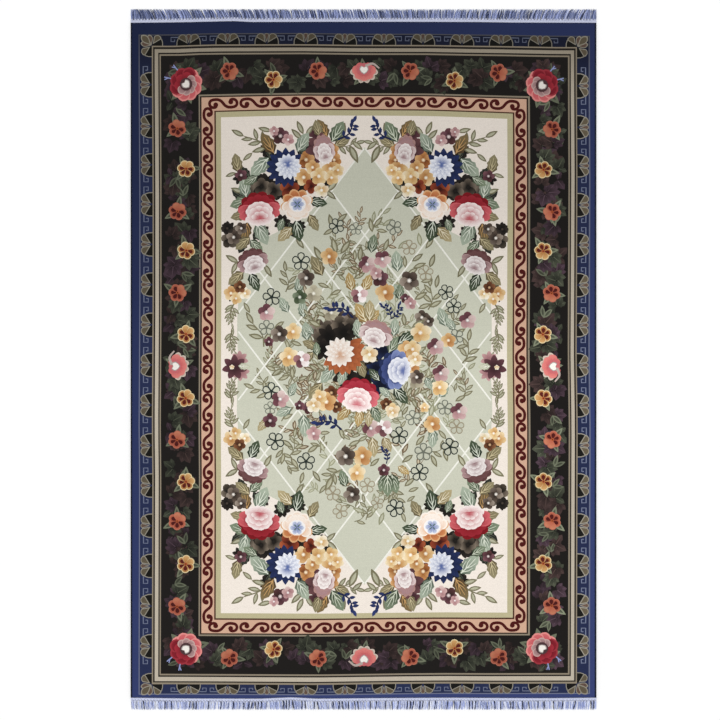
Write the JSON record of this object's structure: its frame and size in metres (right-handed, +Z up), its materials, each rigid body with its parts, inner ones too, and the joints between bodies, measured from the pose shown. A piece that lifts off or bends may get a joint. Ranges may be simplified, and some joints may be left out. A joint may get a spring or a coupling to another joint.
{
  "type": "fringed silk rug",
  "caption": "Silk pile rug lying flat, with a floral corner-and-medallion field, patterned borders, corded sides and a knotted fringe at both ends.",
  "frame": {"origin": "on the floor under the middle of the whole rug, fringes included", "axes": "+X across the rug, +Y along it towards the end at the top of the picture, +Z up out of the pile"},
  "size_m": [1.83, 2.753, 0.007],
  "materials": {
    "pile": "silk pile",
    "side_cord": "wound silk",
    "fringe": "silk yarn"
  },
  "bodies": {
    "root": {"carpet": "pile", "side_cord_left": "side_cord", "side_cord_right": "side_cord", "fringe_top": "fringe", "fringe_bottom": "fringe"}
  },
  "joints": []
}
